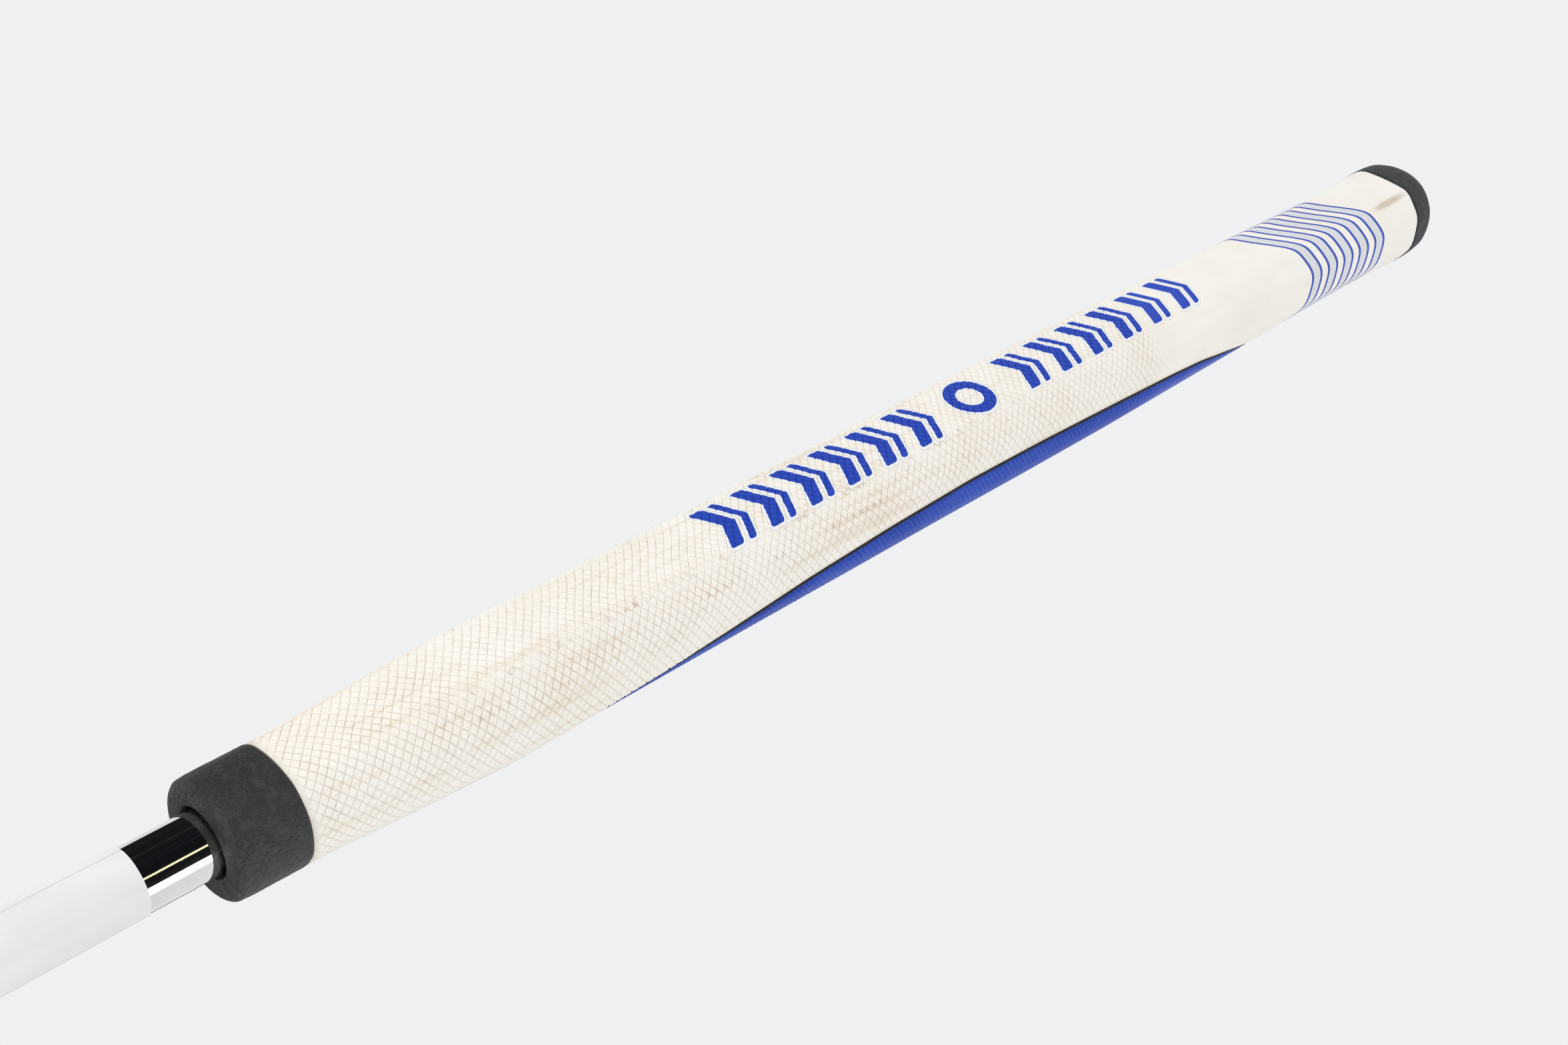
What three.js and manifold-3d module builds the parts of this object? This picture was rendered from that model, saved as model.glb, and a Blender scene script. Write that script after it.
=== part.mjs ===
// Blade putter: heel-and-toe weighted head with a plumber's neck, stepped
// steel shaft, and a wrapped grip with a flat front and an inlaid back panel.
// Millimetres, +Z up. The origin is the sole's resting point under the middle
// of the face. The toe points to -X, the heel to +X, the face looks along -Y.

import * as THREE from 'three';
import { mergeVertices, mergeGeometries } from 'three/addons/utils/BufferGeometryUtils.js';
import Module from 'manifold-3d';

const wasm = await Module();
wasm.setup();

// ---- driving dimensions -------------------------------------------------
const CLUB_LENGTH = 889;          // along the shaft, ground to butt
const LIE = 70;                   // degrees between shaft and ground
const LOFT = 3.5;                 // degrees the face leans back
const SHAFT_X = 14;               // where the shaft line meets the ground
const SHAFT_Y = -17.7;            // the shaft line lies ahead of the face

const GRIP_LENGTH = 432;
const MOUTH_RING = 15.4;          // length of the black ring at the mouth
const CAP_START = 419;            // where the butt cap begins
const SHAFT_END = 427;            // how far the shaft reaches into the cap
const WRAP = 1.9;                 // wrap thickness
const GAP = 0.3;                  // clearance between nested pieces
const SEAM = 0.95;                // width of the dark seam round the panel
const FLAT = 0.83;                // front flat's distance over half width
const SEG = 40;

// half width of the grip along its length, from the mouth
const HALF_WIDTH = [
  [0, 12.2], [1.2, 12.65], [3.2, 12.85], [12, 12.95], [15.6, 13.0], [20.6, 13.05], [24, 13.15],
  [32, 13.7], [42, 14.25], [53, 14.75], [65, 15.3], [77, 15.25], [92, 15.0], [110, 15.0],
  [135, 15.0], [165, 15.1], [200, 15.15], [235, 15.35], [268, 15.4], [300, 15.1], [340, 14.75],
  [384, 14.35], [402, 14.6], [416, 15.1], [419, 15.15], [423, 15.12], [426, 14.8], [428, 14.1],
  [430, 12.9], [431.2, 11.8], [432, 10.5],
];
// half angle of the back panel, measured from the middle of the back
const PANEL = [
  [76, 6], [80, 22], [86, 38], [93, 50], [101, 60], [113, 70], [125, 75.5], [148, 84],
  [175, 90], [204, 93.5], [232, 92.5], [267, 88], [290, 83.5], [305, 79], [318, 70],
  [328, 57], [337, 38], [343, 20], [346, 7],
];

const SHAFT_MOUTH_D = 13.4;       // shaft diameter where it enters the grip
const SHAFT_BUTT_D = 15.2;
const SHAFT_TIP_D = 9.4;
const SHAFT_WALL = 0.9;
const STEP_PITCH = 26;            // length of each step below the grip
const STEP_COUNT = 11;
const LABEL_START = 14.7;         // below the mouth
const LABEL_LENGTH = 76;

const HEAD_TOE = -60;
const HEAD_HEEL = 56.5;
const WEIGHT_X = [46, -46];
const WEIGHT_Y = 3.2;
const NECK_R = 6.9;

// ---- small helpers --------------------------------------------------------
const rad = Math.PI / 180;
const lerpTable = (table, x) => {
  if (x <= table[0][0]) return table[0][1];
  for (let i = 1; i < table.length; i++) {
    const [x1, y1] = table[i], [x0, y0] = table[i - 1];
    if (x <= x1) return y0 + (y1 - y0) * (x - x0) / (x1 - x0);
  }
  return table[table.length - 1][1];
};
const halfWidth = (u) => lerpTable(HALF_WIDTH, u);

function clean(geometry) {
  const g = geometry.index ? geometry.clone() : geometry;
  for (const k of Object.keys(g.attributes)) if (k !== 'position') g.deleteAttribute(k);
  g.clearGroups();
  const m = mergeVertices(g, 1e-4);
  // drop the triangles that merging has collapsed
  const idx = m.index.array, keep = [];
  for (let i = 0; i < idx.length; i += 3) {
    const [a, b, c] = [idx[i], idx[i + 1], idx[i + 2]];
    if (a !== b && b !== c && a !== c) keep.push(a, b, c);
  }
  m.setIndex(keep);
  return m;
}
function solid(geometry) {
  const g = clean(geometry);
  return new wasm.Manifold(new wasm.Mesh({
    numProp: 3,
    vertProperties: new Float32Array(g.attributes.position.array),
    triVerts: new Uint32Array(g.index.array),
  }));
}
function surface(manifold) {
  const mesh = manifold.getMesh();
  const g = new THREE.BufferGeometry();
  const n = mesh.vertProperties.length / mesh.numProp;
  const pos = new Float32Array(n * 3);
  for (let i = 0; i < n; i++)
    for (let k = 0; k < 3; k++) pos[i * 3 + k] = mesh.vertProperties[i * mesh.numProp + k];
  g.setAttribute('position', new THREE.BufferAttribute(pos, 3));
  g.setIndex(new THREE.BufferAttribute(new Uint32Array(mesh.triVerts), 1));
  g.computeVertexNormals();
  return g;
}
const paint = (color, roughness, metalness) =>
  new THREE.MeshStandardMaterial({ color, roughness, metalness });
function piece(name, geometry, material) {
  const mesh = new THREE.Mesh(geometry, material);
  mesh.name = name;
  return mesh;
}

// ---- the grip's cross-section ---------------------------------------------
// Angle 0 looks out of the flat, along local -X; +90 degrees is local -Y.
// A soft polygon: each face is a direction and its distance from the axis.
const FACES = [[0, FLAT], [46, 0.955], [-46, 0.955], [84, 0.97], [-84, 0.97], [122, 0.975],
  [-122, 0.975], [160, 0.98], [-160, 0.98]];
const SHARP = 24;
const rawSection = (phi) => {
  let sum = 0;
  for (const [a, d] of FACES) sum += Math.pow(Math.max(0, Math.cos(phi - a * rad)) / d, SHARP);
  return Math.pow(sum, -1 / SHARP);
};
// reach of the section along one direction, to scale the widths to HALF_WIDTH
const reach = (dir) => {
  let best = 0;
  for (let i = 0; i < 720; i++) {
    const p = i * 0.5 * rad;
    best = Math.max(best, rawSection(p) * Math.cos(p - dir));
  }
  return best;
};
const SECTION_SCALE = 2 / (reach(125 * rad) + reach(-55 * rad));
const facetShare = (u) => lerpTable(
  [[0, 0.0], [4, 0.1], [15.4, 0.35], [30, 0.8], [45, 1], [412, 1], [419, 0.8], [424, 0.4], [430, 0.1], [432, 0]], u);
// radius of the grip at a station and an angle, moved in by `inset`
const gripRadius = (u, phi, inset) => {
  const w = facetShare(u);
  return halfWidth(u) * ((1 - w) + w * rawSection(phi) * SECTION_SCALE) - inset;
};
const gripPoint = (u, phi, inset) => {
  const r = gripRadius(u, phi, inset);
  return new THREE.Vector3(-r * Math.cos(phi), -r * Math.sin(phi), mouth + u);
};
const mouth = CLUB_LENGTH - GRIP_LENGTH;   // station of the grip's mouth on the shaft line

// A turned tube whose stations are either round or follow the grip's section.
// Each profile entry is {u, r} for a round station or {u, inset} for a shaped one.
function turned(profile, seg = SEG) {
  const pts = profile.map((p) => new THREE.Vector2(p.r === undefined ? 20 : Math.max(p.r, 0), p.u));
  if (profile[0].r !== 0) pts.push(pts[0].clone());
  const lathe = new THREE.LatheGeometry(pts, seg);
  const pos = lathe.attributes.position;
  const ring = pts.length;
  for (let i = 0; i <= seg; i++) {
    const phi = ((i % seg) / seg) * 2 * Math.PI;
    for (let j = 0; j < ring; j++) {
      const p = profile[j % profile.length];
      const r = p.r === undefined ? gripRadius(p.u, phi, p.inset) : p.r;
      pos.setXYZ(i * ring + j, -r * Math.cos(phi), -r * Math.sin(phi), mouth + p.u);
    }
  }
  return outward(lathe);
}
// Turns a closed mesh right side out.
function outward(geometry) {
  const g = clean(geometry);
  const p = g.attributes.position, idx = g.index.array;
  let v = 0;
  const a = new THREE.Vector3(), b = new THREE.Vector3(), c = new THREE.Vector3();
  for (let i = 0; i < idx.length; i += 3) {
    a.fromBufferAttribute(p, idx[i]); b.fromBufferAttribute(p, idx[i + 1]); c.fromBufferAttribute(p, idx[i + 2]);
    v += a.dot(b.cross(c));
  }
  if (v < 0) {
    const flipped = [];
    for (let i = 0; i < idx.length; i += 3) flipped.push(idx[i], idx[i + 2], idx[i + 1]);
    g.setIndex(flipped);
  }
  g.computeVertexNormals();
  return g;
}
// A curved plate that lies between two depths of the grip's surface and spans
// the back panel's angle, widened by `grow` millimetres all round.
function backPlate(top, bottom, grow, cols = 16) {
  const rows = [];
  const u0 = PANEL[0][0] - grow, u1 = PANEL[PANEL.length - 1][0] + grow;
  const stations = [u0, ...PANEL.slice(1, -1).map((p) => p[0]), u1];
  for (const u of stations) {
    const base = lerpTable(PANEL, u);
    const half = (base + grow / (halfWidth(u) * rad)) * rad;
    rows.push([u, half]);
  }
  // a box divided like the plate, bent on to the grip
  const box = new THREE.BoxGeometry(1, 1, 1, cols, rows.length - 1, 1);
  const pos = box.attributes.position;
  for (let i = 0; i < pos.count; i++) {
    const fx = pos.getX(i) + 0.5, fy = pos.getY(i) + 0.5, outer = pos.getZ(i) > 0;
    const [u, half] = rows[Math.round(fy * (rows.length - 1))];
    const phi = Math.PI + (fx * 2 - 1) * half;
    const q = gripPoint(u, phi, outer ? top : bottom);
    pos.setXYZ(i, q.x, q.y, q.z);
  }
  return outward(box);
}

// ---- shaft line: everything that is coaxial with the shaft ----------------
const line = new THREE.Group();
line.position.set(SHAFT_X, SHAFT_Y, 0);
line.rotation.y = (90 - LIE) * rad;

const black = (rough) => paint(0x37383a, rough, 0);
const shaftRadius = (z) => {
  // radius at a station on the shaft line
  const top = mouth - 95;
  if (z >= mouth + 12) {
    const t = Math.min(1, (z - mouth - 12) / (SHAFT_END - 30));
    return (SHAFT_MOUTH_D + (SHAFT_BUTT_D - SHAFT_MOUTH_D) * t) / 2;
  }
  if (z >= top) return SHAFT_MOUTH_D / 2;
  const n = Math.min(STEP_COUNT, Math.floor((top - z) / STEP_PITCH) + 1);
  return (SHAFT_MOUTH_D - (SHAFT_MOUTH_D - SHAFT_TIP_D) * n / STEP_COUNT) / 2;
};

// shaft: a steel tube stepped down to its tip
const BORE_BOTTOM = 43;           // stations of the neck's blind bore
const BORE_MOUTH = 66;
{
  const outer = [];
  const z0 = BORE_BOTTOM + 0.8, top = mouth - 95;
  outer.push([z0, SHAFT_TIP_D / 2 - 0.4], [z0 + 0.4, SHAFT_TIP_D / 2]);
  for (let n = STEP_COUNT - 1; n >= 0; n--) {
    const z = top - n * STEP_PITCH;
    const below = (SHAFT_MOUTH_D - (SHAFT_MOUTH_D - SHAFT_TIP_D) * (n + 1) / STEP_COUNT) / 2;
    const above = (SHAFT_MOUTH_D - (SHAFT_MOUTH_D - SHAFT_TIP_D) * n / STEP_COUNT) / 2;
    outer.push([z - 0.9, below], [z + 0.9, above]);
  }
  outer.push([mouth + 12, SHAFT_MOUTH_D / 2], [mouth + SHAFT_END - 18, SHAFT_BUTT_D / 2], [mouth + SHAFT_END, SHAFT_BUTT_D / 2]);
  const inner = [
    [mouth + SHAFT_END, SHAFT_BUTT_D / 2 - SHAFT_WALL], [mouth + 12, SHAFT_MOUTH_D / 2 - SHAFT_WALL],
    [top + 2, SHAFT_MOUTH_D / 2 - SHAFT_WALL], [z0 + 30, SHAFT_TIP_D / 2 - SHAFT_WALL], [z0, SHAFT_TIP_D / 2 - SHAFT_WALL],
  ];
  const profile = [...outer, ...inner].map(([z, r]) => ({ u: z - mouth, r }));
  line.add(piece('shaft', turned(profile, 24), paint(0xc8cacc, 0.12, 1)));
}

// tip_epoxy: the bonding sleeve round the shaft's tip
line.add(piece('tip_epoxy', turned([
  { u: BORE_BOTTOM + 1.4 - mouth, r: 5.2 }, { u: BORE_MOUTH - 0.4 - mouth, r: 5.2 },
  { u: BORE_MOUTH - 0.4 - mouth, r: 4.87 }, { u: BORE_BOTTOM + 1.4 - mouth, r: 4.87 },
], 32), paint(0xc9b98a, 0.4, 0)));

// shaft_label: a blank paper wrap just below the grip
line.add(piece('shaft_label', turned([
  { u: -LABEL_START - LABEL_LENGTH, r: 6.82 }, { u: -LABEL_START - LABEL_LENGTH, r: 7.02 },
  { u: -LABEL_START, r: 7.02 }, { u: -LABEL_START, r: 6.82 },
], SEG), paint(0xf2f2f0, 0.55, 0)));

// grip_tape: double-sided tape sleeve that the grip slides on over
{
  const rows = [14, 200, 405];
  line.add(piece('grip_tape', turned([
    ...rows.map((u) => ({ u, r: shaftRadius(mouth + u) + 0.5 })),
    ...rows.slice().reverse().map((u) => ({ u, r: shaftRadius(mouth + u) + 0.25 })),
  ], 32), paint(0xe9e2c8, 0.8, 0)));
}

// stations shared by the core's outside and the wrap's inside
const CORE_ROWS = [MOUTH_RING + 0.5, 31, 48, 65, 90, 130, 200, 250, 300, 370, 402, CAP_START - 0.6];
// grip_core: the moulded black underlisting
line.add(piece('grip_core', turned([
  ...CORE_ROWS.map((u) => ({ u, inset: WRAP + GAP })),
  ...[CAP_START - 0.6, 200, MOUTH_RING + 0.5].map((u) => ({ u, r: shaftRadius(mouth + u) + 0.85 })),
]), black(0.85)));

// grip_wrap: the pale wrap, with a window for the back panel
const wrapRows = [MOUTH_RING + 0.25, ...HALF_WIDTH.map((p) => p[0]).filter((u) => u > 17 && u < CAP_START - 2), CAP_START - 0.3];
{
  const tube = turned([
    ...wrapRows.map((u) => ({ u, inset: -0.08 })),
    ...CORE_ROWS.slice().reverse().map((u, i, a) => ({ u: i === 0 ? CAP_START - 0.3 : (i === a.length - 1 ? MOUTH_RING + 0.25 : u), inset: WRAP })),
  ]);
  const window_ = backPlate(-3, WRAP + 1.4, SEAM);
  line.add(piece('grip_wrap', surface(solid(tube).subtract(solid(window_))), paint(0xefe9dd, 0.6, 0)));
}

// grip_back_panel: the blue panel let into the back
line.add(piece('grip_back_panel', backPlate(-0.02, WRAP - 0.35, 0), paint(0x2346b4, 0.55, 0)));

// mouth_ring: the rubber ring that ends the wrap at the mouth
line.add(piece('mouth_ring', turned([
  { u: 0.9, r: 7.15 }, { u: 0, r: 7.9 }, { u: 0, r: 11.3 },
  { u: 0.35, inset: 0.1 }, { u: 1.4, inset: -0.05 }, { u: 3.2, inset: -0.05 }, { u: 9, inset: -0.05 }, { u: MOUTH_RING, inset: 0 },
  { u: MOUTH_RING, r: 10.2 }, { u: MOUTH_RING - 2.4, r: 7.15 },
]), black(0.75)));

// butt_cap: the rubber cap with its vent hole
line.add(piece('butt_cap', turned([
  { u: CAP_START, inset: 0 }, { u: 420.5, inset: -0.1 }, { u: 423, inset: -0.1 }, { u: 425, inset: -0.1 }, { u: 426.5, inset: -0.1 },
  { u: 428, inset: -0.1 }, { u: 429.2, inset: -0.1 }, { u: 430.3, inset: -0.1 }, { u: 431.2, inset: -0.1 },
  { u: GRIP_LENGTH, r: 10.6 }, { u: GRIP_LENGTH, r: 1.6 },
  { u: SHAFT_END + 0.8, r: 1.6 }, { u: SHAFT_END + 0.8, r: 8.4 }, { u: CAP_START, r: 8.4 },
]), black(0.7)));

// ---- head -----------------------------------------------------------------
const root = new THREE.Group();
root.add(line);

const prism = (shape, depth) => new THREE.ExtrudeGeometry(shape, { depth, bevelEnabled: false, curveSegments: 8 });
const polygon = (pts) => new THREE.Shape(pts.map(([x, y]) => new THREE.Vector2(x, y)));
// a YZ profile extruded along X, from x0 to x1
function alongX(pts, x0, x1) {
  const g = prism(polygon(pts), x1 - x0);
  const m = new THREE.Matrix4().makeBasis(new THREE.Vector3(0, 1, 0), new THREE.Vector3(0, 0, 1), new THREE.Vector3(1, 0, 0));
  g.applyMatrix4(m);
  g.translate(x0, 0, 0);
  return outward(g);
}
// an XZ shape extruded along Y, from y0 to y1
function alongY(shape, y0, y1) {
  const g = prism(shape, y1 - y0);
  const m = new THREE.Matrix4().makeBasis(new THREE.Vector3(1, 0, 0), new THREE.Vector3(0, 0, 1), new THREE.Vector3(0, -1, 0));
  g.applyMatrix4(m);
  g.translate(0, y1, 0);
  return outward(g);
}
const upright = (r, z0, z1, x, y, seg = 32) => {
  const g = new THREE.CylinderGeometry(r, r, z1 - z0, seg);
  g.rotateX(Math.PI / 2);
  g.translate(x, y, (z0 + z1) / 2);
  return g;
};

// outline seen from the front: flat middle of the sole, rising to heel and toe
const outline = new THREE.Shape();
outline.moveTo(-16, 0);
outline.lineTo(16, 0);
outline.quadraticCurveTo(34, 0, 47, 1.6);
outline.bezierCurveTo(53, 2.4, 56, 5, HEAD_HEEL, 9);
outline.bezierCurveTo(57, 14, 54, 18, 48, 20.6);
outline.quadraticCurveTo(43, 23, 38, 24);
outline.lineTo(12, 24);
outline.quadraticCurveTo(-14, 24.2, -42, 26);
outline.bezierCurveTo(-52, 26.6, -58.5, 25, -59.6, 18);
outline.bezierCurveTo(-60.4, 12, -60, 6.5, -56.5, 4.2);
outline.bezierCurveTo(-52, 1.6, -36, 0, -16, 0);

const tan = Math.tan(LOFT * rad);
const faceY = (z) => -13 + z * tan;         // the face leans back with height
const blade = alongX([
  [faceY(1.2), 1.2], [-12.2, 0], [9.5, 0], [12.6, 1.0], [14, 2.8], [14, 6.6], [12.8, 7.8],
  [-2.4, 8.8], [-3.8, 9.9], [-4.3, 24.6], [-5.4, 30], [faceY(30), 30],
], -72, 72);
const massProfile = [[-7, 0.6], [9.5, 0.2], [12.6, 1.0], [14, 2.8], [14, 12.2], [12.4, 14.6], [3, 17.6], [-7, 18.4]];
const toeMass = alongX(massProfile, -72, -33.5);
const heelMass = alongX(massProfile, 33.5, 72);
let head = solid(blade).add(solid(toeMass)).add(solid(heelMass))
  .intersect(solid(alongY(outline, -30, 30)));

// insert pocket, in the plane of the face
const tilt = new THREE.Matrix4().makeTranslation(0, faceY(0), 0)
  .multiply(new THREE.Matrix4().makeRotationX(-LOFT * rad));
function facePlate(x0, x1, z0, z1, r, front, back) {
  const s = new THREE.Shape();
  s.moveTo(x0 + r, z0); s.lineTo(x1 - r, z0); s.quadraticCurveTo(x1, z0, x1, z0 + r);
  s.lineTo(x1, z1 - r); s.quadraticCurveTo(x1, z1, x1 - r, z1); s.lineTo(x0 + r, z1);
  s.quadraticCurveTo(x0, z1, x0, z1 - r); s.lineTo(x0, z0 + r); s.quadraticCurveTo(x0, z0, x0 + r, z0);
  const g = alongY(s, front, back);
  g.applyMatrix4(tilt);
  return g;
}
const INSERT_DEPTH = 3.4;
head = head.subtract(solid(facePlate(-38, 34, 3.2, 21.2, 5, -2, INSERT_DEPTH + 1.1)));
// weight seats: a counterbore for the flange and ring, and the threaded hole
for (const x of WEIGHT_X)
  head = head.subtract(solid(upright(7.9, -3, 5.2, x, WEIGHT_Y))).subtract(solid(upright(5.8, 4, 12.8, x, WEIGHT_Y)));
// the neck's spigot hole and the sight line's groove
const NECK_X = 25;
head = head.subtract(solid(upright(2.3, 21.6, 30, NECK_X, -8.0, 20)));
head = head.subtract(solid(alongX([[-1.2, 7.6], [11.8, 6.9], [11.8, 12], [-1.2, 12]], -0.9, 0.9)));
root.add(piece('head_body', surface(head), paint(0xb9bcbe, 0.35, 1)));

// face_insert and its bond
root.add(piece('face_insert', facePlate(-37.7, 33.7, 3.5, 20.9, 4.8, 0.05, INSERT_DEPTH), paint(0x2b2d30, 0.5, 0)));
root.add(piece('insert_bond', facePlate(-36.5, 32.5, 4.7, 19.7, 4, INSERT_DEPTH + 0.3, INSERT_DEPTH + 0.8), paint(0xe4e2da, 0.7, 0)));

// sight_line: the paint-filled groove in the flange
root.add(piece('sight_line', alongX([[-0.9, 7.88], [11.5, 7.22], [11.5, 7.66], [-0.9, 8.5]], -0.6, 0.6), paint(0xf4f4f2, 0.5, 0)));

// hosel_neck: post, forward jog and the socket that takes the shaft
{
  const toWorld = new THREE.Matrix4().makeTranslation(SHAFT_X, SHAFT_Y, 0)
    .multiply(new THREE.Matrix4().makeRotationY((90 - LIE) * rad));
  // side profile of the bend: (y ahead of the shaft line, station along it)
  const bend = new THREE.Shape();
  bend.moveTo(6.4, 18); bend.lineTo(13.2, 18); bend.lineTo(13.2, 38);
  bend.quadraticCurveTo(13.2, 44.5, 7, 44.5); bend.lineTo(-3, 44.5);
  bend.quadraticCurveTo(-6.2, 44.5, -6.2, 41); bend.lineTo(-6.2, 37.5);
  bend.quadraticCurveTo(-6.2, 34, -3, 34); bend.lineTo(3, 34);
  bend.quadraticCurveTo(6.4, 34, 6.4, 30); bend.lineTo(6.4, 18);
  const arm = prism(bend, 11);
  arm.applyMatrix4(new THREE.Matrix4().makeBasis(new THREE.Vector3(0, 1, 0), new THREE.Vector3(0, 0, 1), new THREE.Vector3(1, 0, 0)));
  arm.translate(-5.5, 0, 0);
  const socket = new THREE.LatheGeometry([[0, 36.5], [5.9, 36.5], [NECK_R, 37.6], [NECK_R, BORE_MOUTH - 1], [NECK_R - 0.8, BORE_MOUTH], [0, BORE_MOUTH]]
    .map(([r, z]) => new THREE.Vector2(r, z)), 32);
  socket.rotateX(Math.PI / 2);
  const bore = new THREE.CylinderGeometry(5.4, 5.4, 40, 32);
  bore.rotateX(Math.PI / 2);
  bore.translate(0, 0, BORE_BOTTOM + 20);
  for (const g of [arm, socket, bore]) g.applyMatrix4(toWorld);
  let neck = solid(outward(arm)).add(solid(outward(socket))).subtract(solid(outward(bore)));
  // square the post off just above the top line, and add the spigot
  const below = new THREE.BoxGeometry(200, 200, 60);
  below.translate(0, 0, 24.3 - 30);
  neck = neck.subtract(solid(below)).add(solid(upright(2.0, 22, 27, NECK_X, -8.0, 20)));
  root.add(piece('hosel_neck', surface(neck), paint(0xbdbfc1, 0.3, 1)));
}

// sole weights: flange, threaded shank, hex socket; each with a rubber ring
for (const [i, x] of WEIGHT_X.entries()) {
  const side = i === 0 ? 'heel' : 'toe';
  let w = solid(upright(7.5, 2.0, 3.9, x, WEIGHT_Y)).add(solid(upright(5.5, 3, 12.0, x, WEIGHT_Y)));
  w = w.subtract(solid(upright(2.4, 0, 5.4, x, WEIGHT_Y, 6)));
  root.add(piece(`${side}_weight`, surface(w), paint(0x9ea1a4, 0.3, 1)));
  const ring = new THREE.LatheGeometry([[5.85, 4.2], [7.3, 4.2], [7.5, 4.6], [7.3, 4.95], [5.85, 4.95], [5.85, 4.2]]
    .map(([r, z]) => new THREE.Vector2(r, z)), 28);
  ring.rotateX(Math.PI / 2);
  ring.translate(x, WEIGHT_Y, 0);
  root.add(piece(`${side}_weight_ring`, outward(ring), paint(0x222324, 0.8, 0)));
}

export default root;
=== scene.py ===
# Looks for the blade putter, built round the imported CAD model.
import math
import bpy
import bmesh
import numpy as np
from mathutils import Matrix, Vector, noise


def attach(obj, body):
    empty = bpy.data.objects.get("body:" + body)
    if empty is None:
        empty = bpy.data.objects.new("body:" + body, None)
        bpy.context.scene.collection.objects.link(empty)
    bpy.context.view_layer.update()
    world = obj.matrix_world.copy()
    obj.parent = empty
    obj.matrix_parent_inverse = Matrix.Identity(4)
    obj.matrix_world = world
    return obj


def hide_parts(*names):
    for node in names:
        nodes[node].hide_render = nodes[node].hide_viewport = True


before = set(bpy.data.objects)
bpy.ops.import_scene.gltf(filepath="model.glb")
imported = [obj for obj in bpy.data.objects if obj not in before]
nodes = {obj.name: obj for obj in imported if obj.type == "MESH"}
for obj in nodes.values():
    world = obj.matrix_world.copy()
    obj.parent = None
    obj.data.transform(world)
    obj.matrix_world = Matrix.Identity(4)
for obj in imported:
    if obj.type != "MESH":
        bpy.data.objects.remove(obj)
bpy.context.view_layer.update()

RAD = math.pi / 180
MM = 0.001

# ---------------------------------------------------------------- the grip's surface, as in part.mjs
LIE = 70 * RAD
C20, S20 = math.cos(math.pi / 2 - LIE), math.sin(math.pi / 2 - LIE)
SHAFT_X, SHAFT_Y = 14.0, -17.7
CLUB, GRIP = 889.0, 432.0
MOUTH = CLUB - GRIP
RING_END, CAP_START, SEAM = 15.4, 419.0, 0.95
HALF_WIDTH = np.array([
    [0, 12.2], [1.2, 12.65], [3.2, 12.85], [12, 12.95], [15.6, 13.0], [20.6, 13.05], [24, 13.15],
    [32, 13.7], [42, 14.25], [53, 14.75], [65, 15.3], [77, 15.25], [92, 15.0], [110, 15.0],
    [135, 15.0], [165, 15.1], [200, 15.15], [235, 15.35], [268, 15.4], [300, 15.1], [340, 14.75],
    [384, 14.35], [402, 14.6], [416, 15.1], [419, 15.15], [423, 15.12], [426, 14.8], [428, 14.1],
    [430, 12.9], [431.2, 11.8], [432, 10.5]])
PANEL = np.array([
    [76, 6], [80, 22], [86, 38], [93, 50], [101, 60], [113, 70], [125, 75.5], [148, 84],
    [175, 90], [204, 93.5], [232, 92.5], [267, 88], [290, 83.5], [305, 79], [318, 70],
    [328, 57], [337, 38], [343, 20], [346, 7]])
FACES = [(0, .83), (46, .955), (-46, .955), (84, .97), (-84, .97), (122, .975), (-122, .975), (160, .98), (-160, .98)]
SHARP = 24
FACET = np.array([[0, 0], [4, .1], [15.4, .35], [30, .8], [45, 1], [412, 1], [419, .8], [424, .4], [430, .1], [432, 0]])


def raw_section(phi):
    total = 0
    for a, d in FACES:
        total = total + (np.maximum(0, np.cos(phi - a * RAD)) / d) ** SHARP
    return total ** (-1 / SHARP)


def reach(direction):
    q = np.radians(np.arange(0, 360, .5))
    return (raw_section(q) * np.cos(q - direction)).max()


SECTION_SCALE = 2 / (reach(125 * RAD) + reach(-55 * RAD))


# the widths, eased so that the outline has no kinks
_hu = np.arange(0, 432.01, 0.5)
_hr = np.interp(_hu, HALF_WIDTH[:, 0], HALF_WIDTH[:, 1])
_k = np.exp(-0.5 * (np.arange(-14, 15) / 5.0) ** 2); _k /= _k.sum()
_sm = np.convolve(np.pad(_hr, 14, mode="edge"), _k, mode="valid")
_w = np.clip((_hu - 8) / 10, 0, 1) * np.clip((414 - _hu) / 8, 0, 1)
_hr = np.minimum(_hr * (1 - _w) + _sm * _w, _hr + 0.05)


def half_width(u):
    return np.interp(u, _hu, _hr)


def grip_radius(u, phi):
    w = np.interp(u, FACET[:, 0], FACET[:, 1])
    return half_width(u) * ((1 - w) + w * raw_section(phi) * SECTION_SCALE)


def line_point(x, y, z):
    """Local to the shaft line (mm) -> row frame (m)."""
    x, y, z = np.asarray(x, float), np.asarray(y, float), np.asarray(z, float)
    return np.stack([SHAFT_X + x * C20 + z * S20, SHAFT_Y + y, -x * S20 + z * C20], -1) * MM


def grip_point(u, phi, off=0.0):
    r = grip_radius(u, phi) + off
    return line_point(-r * np.cos(phi), -r * np.sin(phi), MOUTH + np.asarray(u, float))


# ---------------------------------------------------------------- small mesh helpers
def new_object(name, verts, faces, smooth=True):
    me = bpy.data.meshes.new(name)
    me.from_pydata([tuple(map(float, v)) for v in verts], [], [tuple(int(i) for i in f) for f in faces])
    me.validate()
    me.update()
    ob = bpy.data.objects.new(name, me)
    bpy.context.scene.collection.objects.link(ob)
    if smooth:
        me.polygons.foreach_set("use_smooth", [True] * len(me.polygons))
    return ob


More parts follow.
